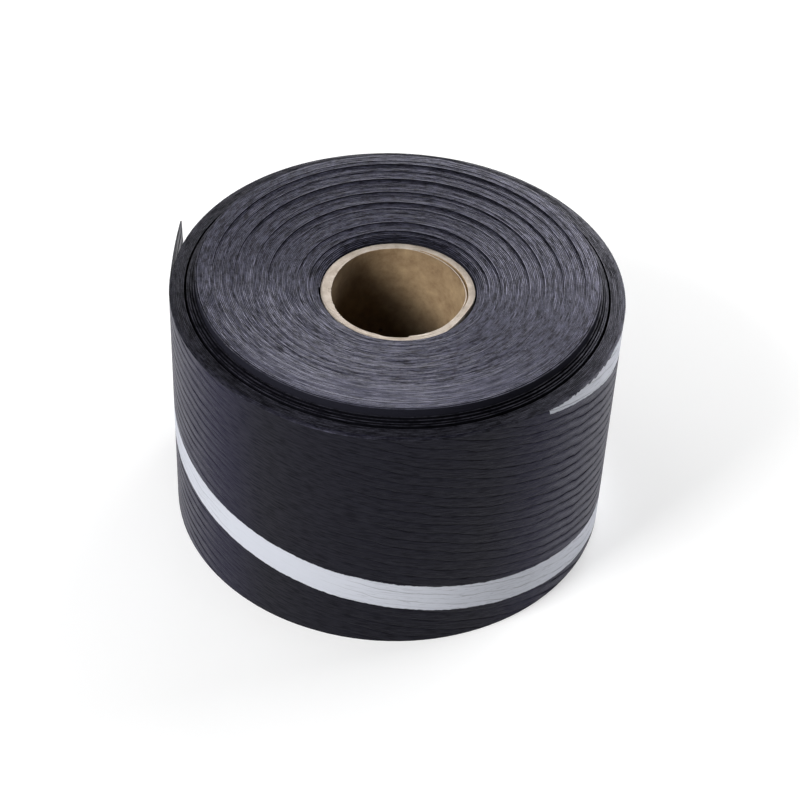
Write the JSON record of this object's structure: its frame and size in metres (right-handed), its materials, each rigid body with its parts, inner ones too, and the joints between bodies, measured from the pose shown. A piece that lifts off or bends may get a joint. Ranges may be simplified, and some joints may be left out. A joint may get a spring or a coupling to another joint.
{
  "type": "roll of damp proof course",
  "caption": "Roll of embossed black polythene damp proof course, wound on a cardboard core and stood on its end.",
  "frame": {"origin": "on the roll's axis, in the plane that the roll stands on", "axes": "+Z along the roll's axis, upwards; -Y is the side that faces the viewer; the loose end is on the -X side"},
  "size_m": [0.1648, 0.1644, 0.1056],
  "materials": {
    "polythene_film": "embossed black polythene, soft sheen",
    "core_board": "spirally wound brown board, uncoated, cut ends"
  },
  "bodies": {
    "root": {"membrane_roll": "polythene_film", "core_tube": "core_board"}
  },
  "joints": []
}
